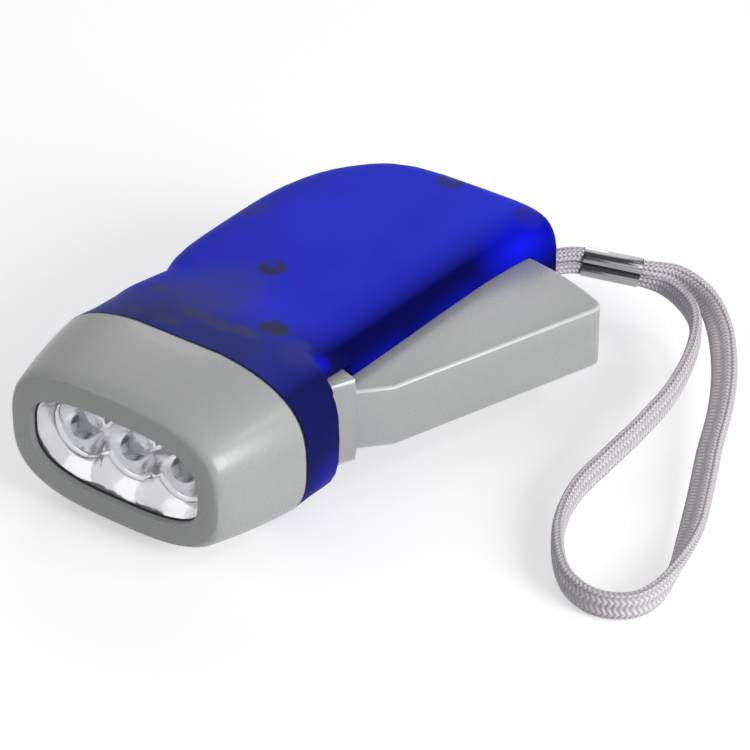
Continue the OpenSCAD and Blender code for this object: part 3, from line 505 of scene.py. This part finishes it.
def braid_material():
    """Grey braid that follows the strap, with a little fuzz."""
    c = colours()
    made, tree, shader = new_material("Grey braid")
    weave = tree.nodes.new("ShaderNodeUVMap")
    weave.uv_map = "weave"
    where = split_xyz(tree, weave.outputs["UV"])
    out = place_group(tree, braid_group(), Along=where["X"], Around=where["Y"],
                      Ribs=float(sizes().strap_ribs), Threads=1.1)
    fuzz = noise(tree, object_coords(tree), 900.0, 4.0)
    level = math_node(tree, "MULTIPLY_ADD", fuzz, 0.35, math_node(tree, "MULTIPLY", out["Thread"], 0.8))
    plug(tree, shader["Base Color"], mix(tree, level, rgba(c.braid_dark), rgba(c.braid_light)))
    plug(tree, shader["Roughness"], spread(tree, fuzz, 0.2, 0.8, 0.75, 0.95))
    shader["Sheen Weight"].default_value = 0.25
    bump(tree, shader, math_node(tree, "MULTIPLY_ADD", fuzz, 0.25, out["Height"]), 0.22 * MM)
    return made


# Mesh helpers

def ease(value, low, high):
    """From 0 below low to 1 above high, without a corner."""
    share = min(max((value - low) / (high - low), 0.0), 1.0)
    return share * share * (3 - 2 * share)


def finish_mesh(bm, name, material, body, replaced=(), smooth_angle=40):
    """Keep a new form, with its faces turned outwards."""
    bmesh.ops.recalc_face_normals(bm, faces=bm.faces)
    return keep_mesh(bm, name, material, body, replaced, smooth_angle)


def keep_mesh(bm, name, material, body, replaced=(), smooth_angle=40):
    """Make the form a piece, smooth up to an angle, that rides on a body if one is given."""
    for face in bm.faces:
        face.smooth = True
    for edge in bm.edges:
        if len(edge.link_faces) == 2 and edge.calc_face_angle() > math.radians(smooth_angle):
            edge.smooth = False
    mesh = bpy.data.meshes.new(name)
    bm.to_mesh(mesh)
    bm.free()
    piece = bpy.data.objects.new(name, mesh)
    bpy.context.scene.collection.objects.link(piece)
    mesh.materials.append(material)
    if body:
        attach(piece, body)
    if replaced:
        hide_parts(*replaced)
    return piece


def merged_copy(node):
    """A node's form with its loose triangles joined."""
    bm = bmesh.new()
    bm.from_mesh(NODES[node].data)
    bmesh.ops.remove_doubles(bm, verts=bm.verts, dist=0.002 * MM)
    return bm


def dress(material, *nodes):
    for node in nodes:
        NODES[node].data.materials.clear()
        NODES[node].data.materials.append(material)


def spun(bm, profile, centre, steps=48):
    """A profile of (along, radius) points turned about the beam's direction through centre."""
    verts = [bm.verts.new(centre + Vector((a, 0, r))) for a, r in profile]
    edges = [bm.edges.new(pair) for pair in zip(verts, verts[1:])]
    bmesh.ops.spin(bm, geom=verts + edges, cent=centre, axis=(1, 0, 0), angle=2 * math.pi, steps=steps,
                   use_merge=True)
    bmesh.ops.remove_doubles(bm, verts=bm.verts, dist=0.001 * MM)


def smooth_route(points, step):
    """A Catmull-Rom curve through the points, sampled about every step."""
    found = []
    for k in range(len(points) - 1):
        a, b, c, d = (points[max(0, min(len(points) - 1, k + j))] for j in (-1, 0, 1, 2))
        count = max(2, round((c.to_3d() - b.to_3d()).length / step))
        for s in range(count):
            t = s / count
            found.append(0.5 * (2 * b + (c - a) * t + (2 * a - 5 * b + 4 * c - d) * t * t
                                + (3 * b - a - 3 * c + d) * t ** 3))
    return found + [points[-1]]


def of_kind(geom, kind):
    """The new vertices or edges among what an operator returned."""
    return [g for g in geom if isinstance(g, kind)]


def route_frame(path, k, tall, thick):
    """Place and size of one ring: the braid's width stands upright, its thickness lies sideways."""
    heading = (path[min(k + 1, len(path) - 1)] - path[max(k - 1, 0)]).normalized()
    side = heading.cross(Vector((0, 0, 1))).normalized()
    up = side.cross(heading)
    turn = Matrix((side * thick / 2, up * tall / 2, heading)).transposed().to_4x4()
    return Matrix.Translation(path[k]) @ turn


class TORCH_OT_stage(bpy.types.Operator):
    """Make the floor, the lights, the white surround and the camera"""
    bl_idname = "torch.stage"
    bl_label = "Studio"

    def execute(self, context):
        scene = context.scene
        scene.view_settings.view_transform = "Standard"
        bm = bmesh.new()
        bmesh.ops.create_grid(bm, x_segments=2, y_segments=2, size=FLOOR_REACH)
        mesh = bpy.data.meshes.new("floor")
        bm.to_mesh(mesh)
        bm.free()
        floor = bpy.data.objects.new("floor", mesh)
        floor.location.z = -FLOOR_DROP
        scene.collection.objects.link(floor)
        made, tree, shader = new_material("Studio floor")
        tone = spread(tree, noise(tree, object_coords(tree), 4.0), 0.3, 0.7, 0.0, 1.0)
        plug(tree, shader["Base Color"], mix(tree, tone, rgba(colours().floor, 0.985), rgba(colours().floor)))
        shader["Roughness"].default_value = 0.9
        shader["Specular IOR Level"].default_value = 0.1
        shader["Emission Color"].default_value = (1, 1, 1, 1)
        plug(tree, shader["Emission Strength"], math_node(tree, "MULTIPLY", direct_view(tree), FLOOR_LIFT))
        mesh.materials.append(made)

        world = bpy.data.worlds.new("Studio")
        scene.world = world
        world.use_nodes = True
        tree = world.node_tree
        back = tree.nodes["Background"].inputs
        back["Color"].default_value = (1, 1, 1, 1)
        plug(tree, back["Strength"], spread(tree, direct_view(tree), 0.0, 1.0, SURROUND_FILL, 1.0))

        for name, spot, size, power in LIGHTS:
            data = bpy.data.lights.new(name, "AREA")
            data.size = size
            data.energy = power
            lamp = bpy.data.objects.new(name, data)
            lamp.location = spot
            lamp.rotation_euler = (CAMERA_TARGET - Vector(spot)).to_track_quat("-Z", "Y").to_euler()
            scene.collection.objects.link(lamp)

        s = sizes()
        away = Vector((math.cos(s.camera_azimuth) * math.cos(s.camera_height),
                       math.sin(s.camera_azimuth) * math.cos(s.camera_height), math.sin(s.camera_height)))
        lens = bpy.data.cameras.new("photo")
        lens.sensor_width = SENSOR_WIDTH
        lens.lens = FOCAL_LENGTH
        camera = bpy.data.objects.new("photo", lens)
        camera.location = CAMERA_TARGET + away * s.camera_distance
        camera.rotation_euler = (-away).to_track_quat("-Z", "Y").to_euler()
        scene.collection.objects.link(camera)
        scene.camera = camera
        return {"FINISHED"}


class TORCH_OT_strap(bpy.types.Operator):
    bl_idname = "torch.strap"
    bl_label = "Wrist strap"

    def execute(self, context):
        route = smooth_route([Vector(p) * MM for p in STRAP_ROUTE], ROUTE_STEP)
        path = [p.to_3d() for p in route]
        thick = sizes().strap_thickness
        ribs = sizes().strap_ribs
        bm = bmesh.new()
        along, around = bm.verts.layers.float.new("along"), bm.verts.layers.float.new("around")
        ring = bmesh.ops.create_circle(bm, segments=POINTS_PER_RIB * ribs, radius=1.0)["verts"]
        for v in ring:
            turn = math.atan2(v.co.y, v.co.x) / (2 * math.pi) % 1.0
            v[around] = turn
            a = 2 * math.pi * turn
            flat = math.copysign(abs(math.cos(a)) ** FLAT_POWER, math.cos(a))
            edge = math.copysign(abs(math.sin(a)) ** EDGE_POWER, math.sin(a))
            groove = 1.0 - GROOVE_DEPTH * abs(math.cos(math.pi * turn * 2 * ribs)) ** GROOVE_POWER
            v.co = Vector((flat * groove, edge, 0))
        edges = list(bm.edges)
        bmesh.ops.contextual_create(bm, geom=edges)
        last = route_frame(path, 0, route[0].w, thick)
        bmesh.ops.transform(bm, matrix=last, verts=ring)
        run = 0.0
        for k in range(1, len(path)):
            geom = bmesh.ops.extrude_edge_only(bm, edges=edges)["geom"]
            ring, edges = of_kind(geom, bmesh.types.BMVert), of_kind(geom, bmesh.types.BMEdge)
            run += (path[k] - path[k - 1]).length
            lean = sizes().strap_lean * (ease(run, *LEAN_STARTS) - ease(run, *LEAN_ENDS))
            tilt = Matrix.Rotation(lean, 4, path[k] - path[k - 1])
            place = Matrix.Translation(path[k]) @ tilt @ Matrix.Translation(-path[k]) @ route_frame(
                path, k, route[k].w, thick)
            bmesh.ops.transform(bm, matrix=place @ last.inverted(), verts=ring)
            last = place
            for v in ring:
                v[along] = run / MM
        bmesh.ops.contextual_create(bm, geom=edges)
        weave = bm.loops.layers.uv.new("weave")
        for face in bm.faces:
            wraps = max(v[around] for v in face.verts) > 0.75 and len(face.verts) == 4
            for loop in face.loops:
                turn = loop.vert[around]
                loop[weave].uv = (loop.vert[along], turn + 1.0 if wraps and turn < 0.25 else turn)
        strap = finish_mesh(bm, "wrist_strap", braid_material(), "case", ["strap"], 80)
        return {"FINISHED"}


class TORCH_OT_ferrule(bpy.types.Operator):
    """Form the bright two-lobed crimp round both strands"""
    bl_idname = "torch.ferrule"
    bl_label = "Strap crimp"

    def execute(self, context):
        low, high, out = (Vector(STRAP_ROUTE[k][:3]) * MM for k in (2, 28, 3))
        heading = (out - low).normalized()
        side = heading.cross(Vector((0, 0, 1))).normalized()
        turn = Matrix((side, side.cross(heading), heading)).transposed().to_4x4()
        bm = bmesh.new()
        ring = bmesh.ops.create_circle(bm, segments=56, radius=1.0)["verts"]
        half = (high - low).length / 2
        for v in ring:
            a = math.atan2(v.co.y, v.co.x)
            lobe = half * abs(math.sin(a)) + math.sqrt(max(0.0, CRIMP_LOBE ** 2 - (half * math.cos(a)) ** 2))
            v.co = Vector((lobe * math.cos(a), lobe * math.sin(a), 0))
        first = edges = list(bm.edges)
        done, size = CRIMP_SHAPE[0]
        bmesh.ops.scale(bm, vec=(size, size, 1), verts=ring)
        for along, wide in CRIMP_SHAPE[1:]:
            geom = bmesh.ops.extrude_edge_only(bm, edges=edges)["geom"]
            ring, edges = of_kind(geom, bmesh.types.BMVert), of_kind(geom, bmesh.types.BMEdge)
            bmesh.ops.scale(bm, vec=(wide / size, wide / size, 1), verts=ring)
            bmesh.ops.translate(bm, vec=(0, 0, (along - done) * MM), verts=ring)
            done, size = along, wide
        geom = bmesh.ops.extrude_edge_only(bm, edges=first)["geom"]
        bmesh.ops.scale(bm, vec=(CRIMP_BORE, CRIMP_BORE, 1), verts=of_kind(geom, bmesh.types.BMVert))
        lip = of_kind(geom, bmesh.types.BMEdge)
        bmesh.ops.bridge_loops(bm, edges=lip + edges)
        bmesh.ops.transform(bm, matrix=Matrix.Translation((low + high) / 2) @ turn, verts=bm.verts)
        finish_mesh(bm, "crimp", reflection_painted_plate(), "case", ["strap_ferrule"], 50)
        return {"FINISHED"}


class TORCH_OT_case(bpy.types.Operator):
    """Give the two blue shells their smooth skin and frosted plastic"""
    bl_idname = "torch.case"
    bl_label = "Blue case"

    def execute(self, context):
        blue = case_material()
        for node, name in (("upper_shell", "case_top"), ("lower_shell", "case_bottom")):
            keep_mesh(merged_copy(node), name, blue, "case", [node], 35)
        return {"FINISHED"}


class TORCH_OT_head(bpy.types.Operator):
    """Dress the bezel, window, gasket and reflector, and build the three lamps"""
    bl_idname = "torch.head"
    bl_label = "Lamp head"

    def execute(self, context):
        keep_mesh(merged_copy("bezel"), "head_bezel", bezel_material(), "case", ["bezel"], 35)
        dress(window_material(), "lens")
        rubber = grained("Dark gasket", (0.02, 0.02, 0.02), (0.012, 0.012, 0.012),
                         grain=1800.0, smooth=0.5, rough=0.7)[0]
        dress(rubber, "lens_gasket")
        chrome = grained("Reflector plate", (0.98, 0.98, 1.0), (0.88, 0.88, 0.91), grain=380.0, smooth=0.06,
                         rough=0.22, relief=0.12 * MM, metallic=0.8)[0]
        tray = merged_copy("reflector")
        for v in tray.verts:
            from_lamp = min(math.hypot(v.co.y - y, v.co.z - MID_Z) for y in LAMP_Y)
            if v.co.x > LENS_BACK - FIT_SLACK and from_lamp < CUP_RADIUS + FIT_SLACK:
                v.co.x -= sizes().tray_slope
        keep_mesh(tray, "reflector_tray", chrome, "case", ["reflector"], 30)
        epoxy = lamp_material()
        metal = grained("Lamp frame", (0.9, 0.9, 0.92), (0.78, 0.78, 0.8), grain=1500.0, smooth=0.25,
                        rough=0.4, relief=0.004 * MM, metallic=0.4)[0]
        r = sizes().lamp_radius
        rim, dome_at = r + LAMP_COLLAR, LAMP_TIP - LAMP_BASE - r
        turns = [math.radians(9 * k) for k in range(11)]
        body = [(0, 0), (0, rim), (COLLAR_LONG, rim), (COLLAR_LONG + COLLAR_SLOPE, r)]
        body += [(dome_at + r * math.sin(a), r * math.cos(a)) for a in turns]
        inner = [(along * MM, wide * MM) for along, wide in LAMP_FRAME]
        for k, y in enumerate(LAMP_Y):
            base = Vector((LAMP_BASE, y, MID_Z))
            bm = bmesh.new()
            spun(bm, body, base)
            finish_mesh(bm, f"lamp_{k + 1}", epoxy, "case", [f"led_{k + 1}"])
            bm = bmesh.new()
            spun(bm, inner, base + Vector((0, 0, FRAME_RISE)), 24)
            finish_mesh(bm, f"lamp_frame_{k + 1}", metal, "case")
        return {"FINISHED"}


class TORCH_OT_lever(bpy.types.Operator):
    """Round the edges of the squeeze lever and give it the grey plastic"""
    bl_idname = "torch.lever"
    bl_label = "Squeeze lever"

    def execute(self, context):
        bm = merged_copy("lever")
        bmesh.ops.dissolve_limit(bm, angle_limit=LEVER_FLAT, verts=bm.verts, edges=bm.edges)
        turn = Matrix.Rotation(LEVER_OPEN, 3, "Z")
        rounded = []
        for edge in bm.edges:
            ends = [turn @ (v.co - HINGE) for v in edge.verts]
            mid = (ends[0] + ends[1]) / 2
            behind_hub = all(end.x < -HUB_REACH for end in ends)
            if len(edge.link_faces) != 2 or edge.calc_face_angle() < LEVER_FOLD or not behind_hub:
                continue
            outside = mid.y > OUTER_FACE or mid.xy.length > TAIL_REACH
            if outside and abs(mid.z) > CORE_HALF:
                rounded.append(edge)
        round_off = bmesh.ops.bevel(bm, geom=rounded, offset=sizes().edge_round, offset_type="OFFSET",
                                    affect="EDGES", segments=3, profile=0.5, material=-1, clamp_overlap=False)
        # Painted highlight: the rounded edges are marked for a paler grey in the lever's material
        painted_highlight = bm.loops.layers.float.new("painted_highlight")
        for face in round_off["faces"]:
            for loop in face.loops:
                loop[painted_highlight] = 1.0
        keep_mesh(bm, "squeeze_lever", lever_material(), "lever", ["lever"], 30)
        return {"FINISHED"}


class TORCH_OT_spring(bpy.types.Operator):
    """Make the lever's return spring, which reaches from the case to the lever, as a smooth copy of its part
    that rides on neither body
    """
    bl_idname = "torch.spring"
    bl_label = "Return spring"

    def execute(self, context):
        wire = grained("Spring wire", **STEEL)[0]
        turns = merged_copy("lever_spring")
        spring = keep_mesh(turns, "return_spring", wire, None, ["lever_spring"])
        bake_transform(spring)
        return {"FINISHED"}


class TORCH_OT_inside(bpy.types.Operator):
    """Give the gear train, the generator, the cell and the screws their finishes"""
    bl_idname = "torch.inside"
    bl_label = "Works inside"

    def execute(self, context):
        for name, finish, nodes in INSIDE_FINISHES:
            dress(grained(name, **finish)[0], *nodes)
        return {"FINISHED"}


class TORCH_PT_panel(bpy.types.Panel):
    """Sizes, colours and steps of the torch"""
    bl_idname = "TORCH_PT_panel"
    bl_label = "Squeeze torch"
    bl_space_type = "VIEW_3D"
    bl_region_type = "UI"
    bl_category = "Torch"

    def draw(self, context):
        for group in (context.scene.torch_sizes, context.scene.torch_colours):
            for name in group.__annotations__:
                self.layout.prop(group, name)
        for step in STEPS:
            self.layout.operator(step.bl_idname)


STEPS = (TORCH_OT_stage, TORCH_OT_ferrule, TORCH_OT_strap, TORCH_OT_case, TORCH_OT_head, TORCH_OT_lever,
         TORCH_OT_spring, TORCH_OT_inside)
CLASSES = (TorchSizes, TorchColours, *STEPS, TORCH_PT_panel)


def register():
    for cls in CLASSES:
        bpy.utils.register_class(cls)
    bpy.types.Scene.torch_sizes = PointerProperty(type=TorchSizes)
    bpy.types.Scene.torch_colours = PointerProperty(type=TorchColours)


def unregister():
    del bpy.types.Scene.torch_colours
    del bpy.types.Scene.torch_sizes
    for cls in reversed(CLASSES):
        bpy.utils.unregister_class(cls)


def main():
    register()
    bpy.ops.torch.stage()
    bpy.ops.torch.ferrule()
    bpy.ops.torch.strap()
    bpy.ops.torch.case()
    bpy.ops.torch.head()
    bpy.ops.torch.lever()
    bpy.ops.torch.spring()
    bpy.ops.torch.inside()


if __name__ == "__main__":
    main()
